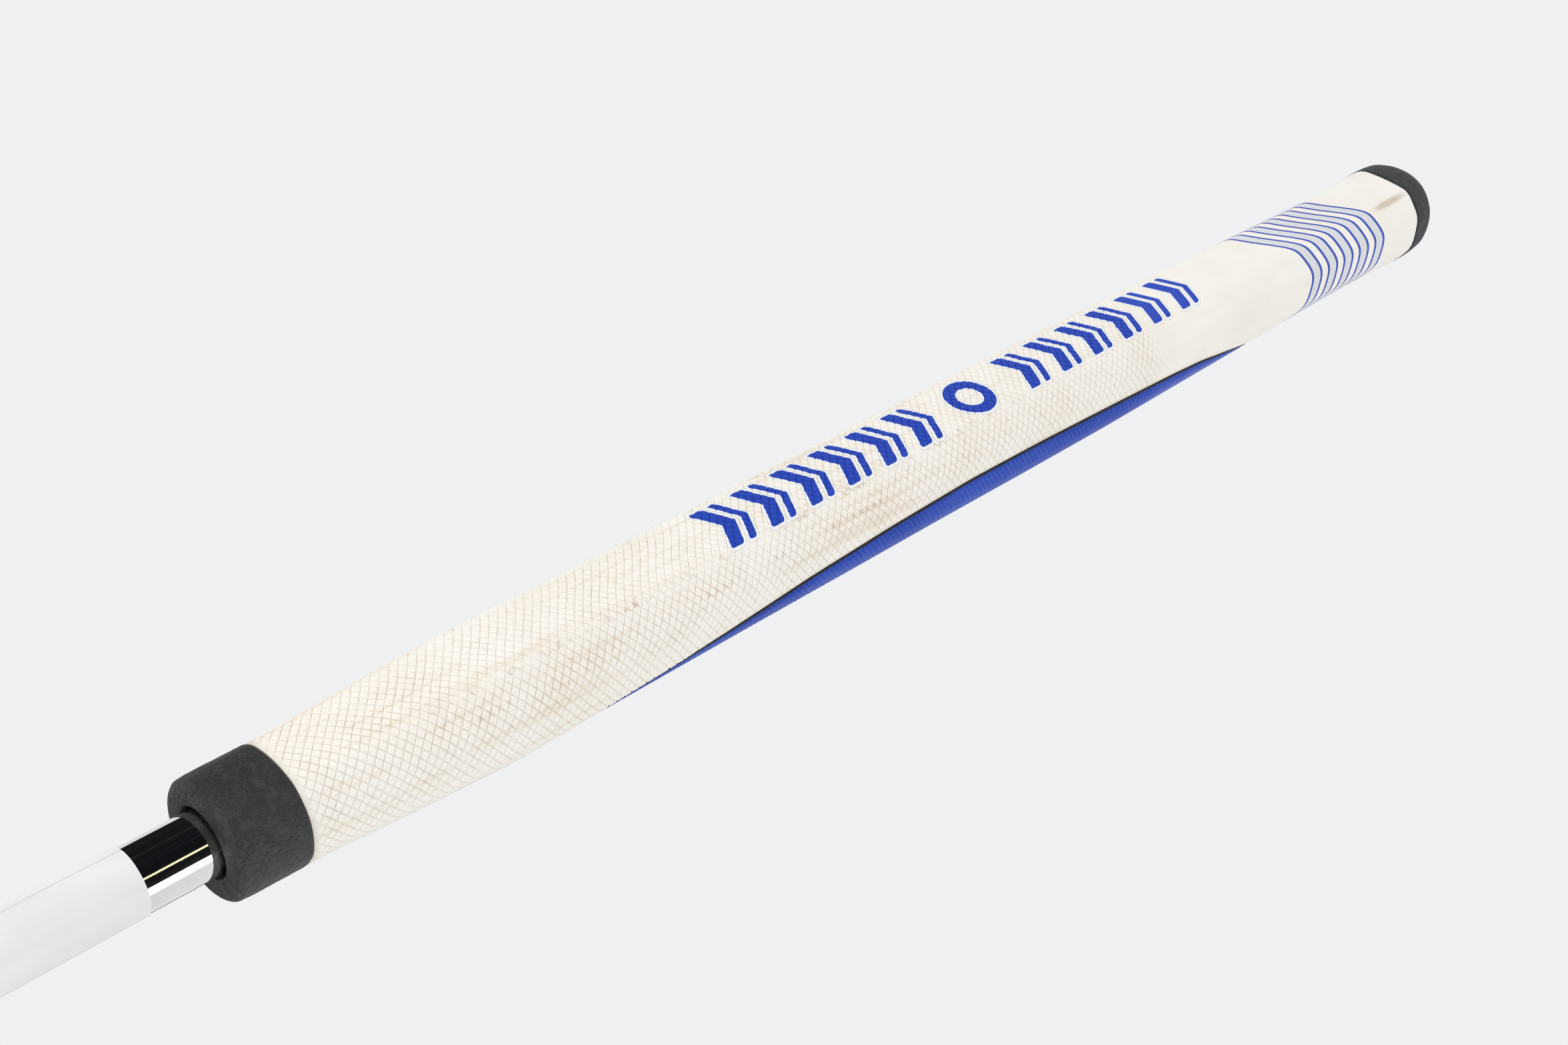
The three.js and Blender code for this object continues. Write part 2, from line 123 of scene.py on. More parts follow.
def recalc(ob, merge=0.0):
    bm = bmesh.new(); bm.from_mesh(ob.data)
    if merge:
        bmesh.ops.remove_doubles(bm, verts=bm.verts, dist=merge)
    bmesh.ops.recalc_face_normals(bm, faces=bm.faces)
    bm.to_mesh(ob.data); bm.free()
    ob.data.update()


def sharpen(ob, degrees=35):
    ob.data.set_sharp_from_angle(angle=degrees * RAD)


def set_attr(ob, name, values):
    a = ob.data.attributes.new(name, "FLOAT_VECTOR", "POINT")
    a.data.foreach_set("vector", np.ascontiguousarray(values, dtype=np.float32).ravel())


def grid_faces(rows, cols, wrap_cols=True, wrap_rows=False):
    out = []
    for i in range(rows if wrap_rows else rows - 1):
        for j in range(cols if wrap_cols else cols - 1):
            a, b = i * cols + j, i * cols + (j + 1) % cols
            i2 = (i + 1) % rows
            out.append((a, b, i2 * cols + (j + 1) % cols, i2 * cols + j))
    return out


def turned(name, profile, seg=96, place=None, close=False):
    """Turned body about the shaft line: profile of (radius, station) in mm."""
    ang = np.arange(seg) / seg * 2 * math.pi
    P = []
    for r, z in profile:
        r = max(r, 0.0005)
        x, y = -r * np.cos(ang), -r * np.sin(ang)
        P.append(place(x, y, np.full(seg, z)) if place else line_point(x, y, np.full(seg, z)))
    P = np.concatenate(P)
    f = grid_faces(len(profile), seg, True, close)
    if not close:
        f += [tuple(range(seg))[::-1], tuple(range((len(profile) - 1) * seg, len(profile) * seg))]
    ob = new_object(name, P, f)
    recalc(ob)
    return ob


def rounded(points, r=0.3, steps=3):
    """Rounds the corners of an open profile of (radius, station)."""
    out = [points[0]]
    for k in range(1, len(points) - 1):
        p, q, s = (np.array(points[k + d], float) for d in (-1, 0, 1))
        a, b = p - q, s - q
        la, lb = np.linalg.norm(a), np.linalg.norm(b)
        t = min(r, la * .45, lb * .45)
        p1, p2 = q + a / la * t, q + b / lb * t
        for i in range(steps + 1):
            w = i / steps
            out.append(tuple((1 - w) ** 2 * p1 + 2 * w * (1 - w) * q + w * w * p2))
    out.append(points[-1])
    return out


# ---------------------------------------------------------------- node helpers
class Mat:
    def __init__(self, name):
        self.m = bpy.data.materials.new(name)
        self.m.use_nodes = True
        self.t = self.m.node_tree
        self.t.nodes.clear()
        self.out = self.t.nodes.new("ShaderNodeOutputMaterial")
        self.b = self.t.nodes.new("ShaderNodeBsdfPrincipled")
        self.t.links.new(self.b.outputs[0], self.out.inputs[0])

    def put(self, sock, v):
        if isinstance(v, (int, float)):
            sock.default_value = v
        elif isinstance(v, (tuple, list)):
            n = len(sock.default_value)
            sock.default_value = tuple(v)[:n] if len(v) >= n else tuple(v) + (1.0,) * (n - len(v))
        else:
            self.t.links.new(v, sock)

    def set(self, **kw):
        for k, v in kw.items():
            self.put(self.b.inputs[k.replace("_", " ")], v)
        return self

    def math(self, op, a, b=0.0, c=0.0, clamp=False):
        n = self.t.nodes.new("ShaderNodeMath"); n.operation = op; n.use_clamp = clamp
        self.put(n.inputs[0], a); self.put(n.inputs[1], b)
        if len(n.inputs) > 2:
            self.put(n.inputs[2], c)
        return n.outputs[0]

    def step(self, x, lo, hi):
        """Smooth 0..1 as x goes from lo to hi."""
        n = self.t.nodes.new("ShaderNodeMapRange"); n.interpolation_type = "SMOOTHSTEP"
        self.put(n.inputs["Value"], x)
        n.inputs["From Min"].default_value = lo; n.inputs["From Max"].default_value = hi
        n.inputs["To Min"].default_value = 0; n.inputs["To Max"].default_value = 1
        return n.outputs["Result"]

    def down(self, x, lo, hi):
        n = self.t.nodes.new("ShaderNodeMapRange"); n.interpolation_type = "SMOOTHSTEP"
        self.put(n.inputs["Value"], x)
        n.inputs["From Min"].default_value = lo; n.inputs["From Max"].default_value = hi
        n.inputs["To Min"].default_value = 1; n.inputs["To Max"].default_value = 0
        return n.outputs["Result"]

    def mix(self, f, a, b):
        n = self.t.nodes.new("ShaderNodeMix"); n.data_type = "RGBA"
        self.put(n.inputs["Factor"], f)
        self.put(n.inputs[6], a); self.put(n.inputs[7], b)
        return n.outputs[2]

    def attr(self, name):
        n = self.t.nodes.new("ShaderNodeAttribute"); n.attribute_name = name
        s = self.t.nodes.new("ShaderNodeSeparateXYZ")
        self.t.links.new(n.outputs["Vector"], s.inputs[0])
        return s.outputs[0], s.outputs[1], s.outputs[2]

    def attr_vec(self, name):
        n = self.t.nodes.new("ShaderNodeAttribute"); n.attribute_name = name
        return n.outputs["Vector"]

    def coord(self, scale=(1, 1, 1), rot=(0, 0, 0)):
        n = self.t.nodes.new("ShaderNodeTexCoord")
        m = self.t.nodes.new("ShaderNodeMapping")
        m.inputs["Scale"].default_value = scale; m.inputs["Rotation"].default_value = rot
        self.t.links.new(n.outputs["Object"], m.inputs["Vector"])
        return m.outputs[0]

    def noise(self, scale, detail=3, rough=0.5, vec=None, lac=2.0):
        n = self.t.nodes.new("ShaderNodeTexNoise")
        n.inputs["Scale"].default_value = scale; n.inputs["Detail"].default_value = detail
        n.inputs["Roughness"].default_value = rough
        self.t.links.new(vec if vec is not None else self.coord(), n.inputs["Vector"])
        return n.outputs[0]

    def voronoi(self, scale, feature="F1", vec=None, out=0):
        n = self.t.nodes.new("ShaderNodeTexVoronoi"); n.feature = feature
        n.inputs["Scale"].default_value = scale
        self.t.links.new(vec if vec is not None else self.coord(), n.inputs["Vector"])
        return n.outputs[out]

    def combine(self, x, y, z):
        n = self.t.nodes.new("ShaderNodeCombineXYZ")
        self.put(n.inputs[0], x); self.put(n.inputs[1], y); self.put(n.inputs[2], z)
        return n.outputs[0]

    def bump(self, height, strength=0.2, distance=0.0002, normal=None):
        n = self.t.nodes.new("ShaderNodeBump")
        n.inputs["Strength"].default_value = strength; n.inputs["Distance"].default_value = distance
        self.put(n.inputs["Height"], height)
        if normal is not None:
            self.t.links.new(normal, n.inputs["Normal"])
        return n.outputs[0]


def use(ob, mat):
    ob.data.materials.clear()
    ob.data.materials.append(mat.m)


def dress(node, mat):
    ob = nodes[node]
    if len(ob.material_slots) == 0:
        ob.data.materials.append(mat.m)
    for s in ob.material_slots:
        s.material = mat.m


# ---------------------------------------------------------------- materials
IVORY = (0.885, 0.855, 0.80)


def rounded_box(m, x, y, a, b, r):
    """Signed distance to a rounded box of half sizes a, b and corner radius r."""
    qx = m.math("SUBTRACT", m.math("ABSOLUTE", x), a - r)
    qy = m.math("SUBTRACT", m.math("ABSOLUTE", y), b - r)
    mx, my = m.math("MAXIMUM", qx, 0.0), m.math("MAXIMUM", qy, 0.0)
    out = m.math("SQRT", m.math("ADD", m.math("MULTIPLY", mx, mx), m.math("MULTIPLY", my, my)))
    inn = m.math("MINIMUM", m.math("MAXIMUM", qx, qy), 0.0)
    return m.math("SUBTRACT", m.math("ADD", out, inn), r)


def wrap_material():
    m = Mat("ivory_wrap")
    u, phi, groove = m.attr("gp")
    y, x, seam = m.attr("gq")
    big = m.noise(38, 4, .55)
    mid = m.noise(160, 4, .6)
    fine = m.noise(900, 3, .6)
    base = m.mix(m.step(big, .35, .7), IVORY, (0.865, 0.82, 0.745))
    base = m.mix(m.math("MULTIPLY", m.step(mid, .45, .75), .30), base, (0.83, 0.765, 0.67))
    # soft brown smears that run along the grip, most of them over the lower half of its length
    run = m.noise(1.0, 4, .55, m.combine(m.math("DIVIDE", u, 48.0), m.math("DIVIDE", phi, 11.0), 3.0))
    worn = m.math("MULTIPLY", m.step(run, .50, .72), m.down(u, 150, 380))
    base = m.mix(m.math("MULTIPLY", worn, .50), base, (0.74, 0.615, 0.475))
    # dirt in the grooves, in patches
    patch = m.step(m.math("ADD", m.math("MULTIPLY", big, .6), m.math("MULTIPLY", mid, .5)), .45, .68)
    bits = m.step(m.noise(520, 3, .6), .36, .66)
    dirt = m.math("MULTIPLY", m.math("POWER", groove, 1.5), m.math("ADD", .08, m.math("MULTIPLY", m.math("ADD", .12, bits), m.math("ADD", .22, m.math("MULTIPLY", patch, .42)))))
    base = m.mix(dirt, base, (0.60, 0.455, 0.32))
    # dots worn along the two corners of the flat
    for edge, wide, much in ((34.5, 5.5, .80), (57.0, 4.0, .45), (-34.5, 5.0, .60)):
        near = m.down(m.math("ABSOLUTE", m.math("SUBTRACT", phi, edge)), wide * .2, wide)
        dots = m.math("ADD", m.math("MULTIPLY", m.step(groove, .05, .35), .45), m.math("MULTIPLY", m.step(m.noise(640, 3, .6), .46, .66), .65))
        spots = m.step(m.noise(1.0, 3, .6, m.combine(m.math("DIVIDE", u, 9.0), edge * .3, 1.0)), .38, .62)
        fade = m.math("MULTIPLY", m.step(u, 24, 70), m.down(u, 190, 290))
        base = m.mix(m.math("MULTIPLY", m.math("MULTIPLY", near, dots), m.math("MULTIPLY", m.math("MULTIPLY", fade, spots), much)), base, (0.52, 0.37, 0.25))
    # small brown stain near the butt
    du = m.math("SUBTRACT", u, 408.0); dp = m.math("SUBTRACT", phi, 33.5)
    near = m.down(m.math("ADD", m.math("POWER", m.math("DIVIDE", du, 11.0), 2.0), m.math("POWER", m.math("DIVIDE", dp, 6.0), 2.0)), -.2, 1.1)
    base = m.mix(m.math("MULTIPLY", near, m.math("ADD", .25, m.math("MULTIPLY", mid, .8))), base, (0.47, 0.34, 0.20))
    # printed marks: chevrons, a ring and more chevrons, with a pale halo
    ay = m.math("ABSOLUTE", m.math("SUBTRACT", y, 0.6))
    def chevrons(u0, u1, count):
        pitch = (u1 - u0) / count
        lean = m.math("ADD", u, m.math("MULTIPLY", ay, .55))
        cell = m.math("SUBTRACT", m.math("DIVIDE", m.math("SUBTRACT", lean, u0 + 2.2), pitch), 0.0)
        idx = m.math("FLOOR", cell)
        inside = m.math("MULTIPLY", m.step(idx, -.6, -.4), m.down(idx, count - .6, count - .4))
        fx = m.math("MULTIPLY", m.math("SUBTRACT", m.math("FRACT", cell), .5), pitch)
        thick = rounded_box(m, m.math("ADD", fx, 1.9), m.math("SUBTRACT", y, 0.6), 1.95, 7.1, .7)
        thin = rounded_box(m, m.math("SUBTRACT", fx, 2.9), m.math("SUBTRACT", y, 0.6), 1.05, 7.1, .7)
        d = m.math("MINIMUM", thick, thin)
        return m.math("ADD", d, m.math("MULTIPLY", m.math("SUBTRACT", 1.0, inside), 50.0))
    a = chevrons(127, 203, 6)
    b = chevrons(232, 311, 6)
    rr = m.math("SQRT", m.math("ADD", m.math("POWER", m.math("SUBTRACT", u, 217.0), 2.0), m.math("POWER", m.math("SUBTRACT", y, .6), 2.0)))
    ring = m.math("SUBTRACT", m.math("ABSOLUTE", m.math("SUBTRACT", rr, 5.2)), 1.55)
    d = m.math("MINIMUM", m.math("MINIMUM", a, b), ring)
    on_front = m.down(m.math("ABSOLUTE", phi), 60, 62)
    halo = m.math("MULTIPLY", m.math("MULTIPLY", m.down(d, .55, .75), on_front), .75)
    ink = m.math("MULTIPLY", m.down(m.math("ADD", d, m.math("MULTIPLY", m.math("SUBTRACT", fine, .5), .12)), -.05, .08), on_front)
    base = m.mix(halo, base, (0.80, 0.835, 0.88))
    edge = m.math("MULTIPLY", m.math("MULTIPLY", m.step(d, .62, .72), m.down(d, .82, .94)), m.math("MULTIPLY", on_front, .38))
    base = m.mix(edge, base, (0.50, 0.50, 0.50))
    # painted shade: the blue ink is painted darker in the grooves, in proportion to their depth
    blue = m.mix(m.math("MULTIPLY", groove, .40), (0.007, 0.050, 0.46), (0.005, 0.026, 0.24))
    blue = m.mix(m.math("MULTIPLY", m.step(mid, .5, .8), .20), blue, (0.022, 0.095, 0.54))
    base = m.mix(ink, base, blue)
    # five outlined bands that sweep round the butt
    sweep = m.math("SUBTRACT", u, m.math("ADD", m.math("MULTIPLY", m.math("SINE", m.math("MULTIPLY", phi, .021)), 9.0), 348.0))
    bcell = m.math("DIVIDE", sweep, 8.8)
    bidx = m.math("FLOOR", bcell)
    bin_ = m.math("MULTIPLY", m.math("MULTIPLY", m.step(bidx, -.6, -.4), m.down(bidx, 4.4, 4.6)), m.down(m.math("ABSOLUTE", phi), 128, 129.5))
    bd = m.math("ABSOLUTE", m.math("MULTIPLY", m.math("SUBTRACT", m.math("FRACT", bcell), .5), 8.8))
    fill = m.math("MULTIPLY", m.down(bd, 1.95, 2.1), bin_)
    line = m.math("MULTIPLY", m.math("MULTIPLY", m.step(bd, 1.65, 1.8), m.down(bd, 2.85, 3.0)), bin_)
    base = m.mix(m.math("MULTIPLY", fill, .8), base, (0.64, 0.66, 0.70))
    base = m.mix(m.math("MULTIPLY", line, .95), base, (0.010, 0.055, 0.44))
    # a little grime where the wrap meets the seam and the ring
    rim = m.math("MAXIMUM", m.down(seam, .3, 1.3), m.down(u, 15.7, 17.2))
    base = m.mix(m.math("MULTIPLY", rim, m.math("MULTIPLY", mid, .55)), base, (0.42, 0.34, 0.26))
    b1 = m.bump(m.noise(2600, 4, .65), .22, .00012)
    b2 = m.bump(m.voronoi(1900, "F1"), .12, .0001, b1)
    rough = m.math("ADD", m.math("ADD", .46, m.math("MULTIPLY", mid, .16)), m.math("MULTIPLY", groove, .15))
    m.set(Base_Color=base, Roughness=rough, Normal=b2)
    m.b.inputs["Specular IOR Level"].default_value = 0.26
    m.b.inputs["Coat Weight"].default_value = 0.03
    m.b.inputs["Coat Roughness"].default_value = 0.4
    return m


def panel_material():
    m = Mat("blue_panel")
    u, phi, groove = m.attr("gp")
    big, mid = m.noise(45, 4, .55), m.noise(220, 4, .6)
    base = m.mix(m.step(big, .35, .7), (0.008, 0.050, 0.42), (0.014, 0.072, 0.50))
    # painted shade: the grooves are painted a darker blue, and the deeper the groove, the darker the blue
    base = m.mix(m.math("MULTIPLY", m.math("POWER", groove, 1.3), .7), base, (0.004, 0.018, 0.17))
    base = m.mix(m.math("MULTIPLY", m.step(mid, .55, .8), m.math("MULTIPLY", m.math("SUBTRACT", 1.0, groove), .22)), base, (0.10, 0.17, 0.52))
    b1 = m.bump(m.noise(2600, 4, .65), .2, .00012)
    m.set(Base_Color=base, Roughness=m.math("ADD", .42, m.math("MULTIPLY", mid, .2)), Normal=b1)
    m.b.inputs["Specular IOR Level"].default_value = 0.32
    return m


def rubber_material(name, dark=(0.030, 0.031, 0.033), pale=(0.062, 0.062, 0.064), rough=.62, scuff=.5):
    m = Mat(name)
    big, mid = m.noise(90, 4, .6), m.noise(420, 5, .65)
    bend = m.noise(300, 3, .6)
    wavy = m.t.nodes.new("ShaderNodeVectorMath"); wavy.operation = "ADD"
    m.t.links.new(m.coord(), wavy.inputs[0])
    off = m.math("MULTIPLY", m.math("SUBTRACT", bend, .5), .0035)
    m.t.links.new(m.combine(off, off, off), wavy.inputs[1])
    crack = m.voronoi(300, "DISTANCE_TO_EDGE", wavy.outputs[0])
    fold = m.math("ABSOLUTE", m.math("SUBTRACT", m.noise(210, 4, .6), .5))
    base = m.mix(m.step(mid, .35, .7), dark, pale)
    worn = m.math("MULTIPLY", m.step(m.math("ADD", m.math("MULTIPLY", big, .5), m.math("MULTIPLY", mid, .6)), .56, .72), scuff)
    base = m.mix(worn, base, (0.10, 0.10, 0.102))
    h = m.math("ADD", m.math("ADD", m.math("MULTIPLY", m.step(crack, 0.0, .10), .45), m.math("MULTIPLY", m.step(fold, 0.0, .07), .8)), m.math("MULTIPLY", m.noise(1700, 4, .6), .7))
    b1 = m.bump(h, .70, .00042)
    m.set(Base_Color=base, Roughness=m.math("ADD", rough - .08, m.math("MULTIPLY", mid, .22)), Normal=b1)
    m.b.inputs["Specular IOR Level"].default_value = 0.45
    return m


def steel_material(name, tint=(0.60, 0.605, 0.61), rough=.3, grain=(1, 1, 1), grain_scale=900, bump=.12, spots=.3):
    m = Mat(name)
    g = m.noise(grain_scale, 4, .6, m.coord(grain))
    big = m.noise(60, 4, .6)
    base = m.mix(m.step(g, .3, .75), tint, tuple(c * .86 for c in tint))
    base = m.mix(m.math("MULTIPLY", m.step(big, .5, .8), spots), base, tuple(c * .72 for c in tint))
    m.set(Base_Color=base, Metallic=1.0, Normal=m.bump(g, bump, .00008),
          Roughness=m.math("ADD", rough - .06, m.math("ADD", m.math("MULTIPLY", g, .1), m.math("MULTIPLY", big, .08))))
    return m


def chrome_material():
    m = Mat("shaft_chrome")
    hair = m.noise(500, 5, .7, m.coord((1, 1, 1)))
    wear = m.noise(35, 3, .6)
    base = m.mix(m.step(wear, .45, .8), (0.80, 0.805, 0.81), (0.71, 0.715, 0.72))
    m.set(Base_Color=base, Metallic=1.0, Roughness=m.math("ADD", .045, m.math("MULTIPLY", m.step(hair, .45, .8), .05)),
          Normal=m.bump(m.noise(1500, 3, .6), .015, .00005))
    return m


def paper_material():
    m = Mat("label_paper")
    v = m.attr("gp")
    fibre, big = m.noise(1400, 5, .7), m.noise(70, 3, .5)
    base = m.mix(m.step(big, .35, .7), (0.80, 0.805, 0.80), (0.75, 0.755, 0.75))
    base = m.mix(m.math("MULTIPLY", m.step(fibre, .5, .8), .18), base, (0.70, 0.69, 0.67))
    base = m.mix(m.math("MULTIPLY", v[2], .55), base, (0.55, 0.47, 0.36))
    m.set(Base_Color=base, Roughness=m.math("ADD", .38, m.math("MULTIPLY", fibre, .15)), Normal=m.bump(fibre, .1, .0001))
    m.b.inputs["Coat Weight"].default_value = 0.15
    m.b.inputs["Coat Roughness"].default_value = 0.25
    return m


def plain_material(name, a, b, rough=.6, scale=300, bump=.2, metallic=0.0):
    m = Mat(name)
    n = m.noise(scale, 4, .6)
    m.set(Base_Color=m.mix(m.step(n, .3, .7), a, b), Metallic=metallic,
          Roughness=m.math("ADD", rough - .06, m.math("MULTIPLY", n, .14)), Normal=m.bump(m.noise(scale * 5, 3, .6), bump, .0001))
    return m


M_WRAP, M_PANEL = wrap_material(), panel_material()
M_RING = rubber_material("ring_rubber", dark=(0.028, 0.029, 0.030), pale=(0.040, 0.0405, 0.0415), rough=.52, scuff=.12)
M_CAP = rubber_material("cap_rubber", dark=(0.024, 0.025, 0.027), pale=(0.045, 0.045, 0.047), scuff=.25)
M_CORE = rubber_material("core_rubber", dark=(0.012, 0.012, 0.013), pale=(0.022, 0.022, 0.023), rough=.75, scuff=0.0)
M_SEAL = rubber_material("seal_rubber", scuff=.1)
M_CHROME = chrome_material()
M_PAPER = paper_material()
M_TAPE = plain_material("double_sided_tape", (0.72, 0.66, 0.50), (0.63, 0.57, 0.42), .8, 700)
M_EPOXY = plain_material("cured_epoxy", (0.55, 0.46, 0.24), (0.44, 0.36, 0.18), .35, 250)
M_BOND = plain_material("bond_sheet", (0.78, 0.76, 0.70), (0.70, 0.68, 0.62), .7, 400)
M_PAINT = plain_material("line_paint", (0.86, 0.86, 0.84), (0.80, 0.80, 0.77), .4, 500, .1)
M_INSERT = plain_material("insert_urethane", (0.030, 0.032, 0.036), (0.048, 0.050, 0.056), .48, 350)
M_HEAD = steel_material("head_steel", (0.60, 0.605, 0.61), .30, (1, 1, 1), 1400, .14)
M_NECK = steel_material("neck_steel", (0.62, 0.625, 0.63), .27, (1, 1, 1), 1400, .12)
M_WEIGHT = steel_material("weight_steel", (0.50, 0.505, 0.515), .24, (1, 1, 8), 900, .12)

# ---------------------------------------------------------------- panel outline and distance to it
R_FLAT = 15.1                                  # arc scale for distances on the surface
_pu = np.linspace(PANEL[0, 0], PANEL[-1, 0], 260)
_pu = np.unique(np.concatenate([_pu, np.linspace(76, 84, 30), np.linspace(338, 346, 30)]))
_pa = np.interp(_pu, PANEL[:, 0], PANEL[:, 1])
_kk = np.exp(-0.5 * (np.arange(-6, 7) / 2.5) ** 2); _kk /= _kk.sum()
_mid = (_pu > 86) & (_pu < 336)
_pa = np.where(_mid, np.convolve(np.pad(_pa, 6, mode="edge"), _kk, mode="valid"), _pa)
OUTLINE = np.concatenate([np.stack([_pu, _pa * RAD * R_FLAT], 1), np.stack([_pu, -_pa * RAD * R_FLAT], 1)[::-1]])


def seam_distance(u, psi):
    """Distance in mm over the surface to the panel's edge; negative inside it. psi is measured from the back."""
    p = np.stack([u, psi * R_FLAT], -1).reshape(-1, 2)
    a, b = OUTLINE, np.roll(OUTLINE, -1, axis=0)
    best = np.full(len(p), 1e9)
    for k in range(len(a)):
        ab = b[k] - a[k]
        L2 = ab @ ab
        if L2 < 1e-12:
            continue
        t = np.clip(((p - a[k]) @ ab) / L2, 0, 1)
        q = a[k] + t[:, None] * ab
        best = np.minimum(best, ((p - q) ** 2).sum(1))
    best = np.sqrt(best)
    alpha = np.interp(p[:, 0], _pu, _pa, left=-1, right=-1) * RAD * R_FLAT
    inside = np.abs(p[:, 1]) < alpha
    return np.where(inside, -best, best).reshape(np.shape(u))


# ---------------------------------------------------------------- knurled skin
DU, DJ = 1.147, 5.625                              # half diagonals of a diamond: mm along, degrees round
KNURL_END = 281.0


def clip(verts, faces, values):
    """Keeps the part of each polygon where values >= 0. verts is (n, k)."""
    inside = values >= -1e-9
    verts_new, out = [], []
    edge_cache = {}
    base = len(verts)
    for f in faces:
        ins = [inside[i] for i in f]
        if all(ins):
            out.append(f); continue
        if not any(ins):
            continue
        poly = []
        n = len(f)
        for k in range(n):
            i, j = f[k], f[(k + 1) % n]
            if inside[i]:
                poly.append(i)
            if inside[i] != inside[j]:
                key = (i, j) if i < j else (j, i)
                if key not in edge_cache:
                    a, b = key
                    t = values[a] / (values[a] - values[b])
                    verts_new.append(verts[a] * (1 - t) + verts[b] * t)
                    edge_cache[key] = base + len(verts_new) - 1
                poly.append(edge_cache[key])
        if len(poly) >= 3:
            out.append(tuple(poly))
    if verts_new:
        verts = np.concatenate([verts, np.array(verts_new)])
    return verts, out


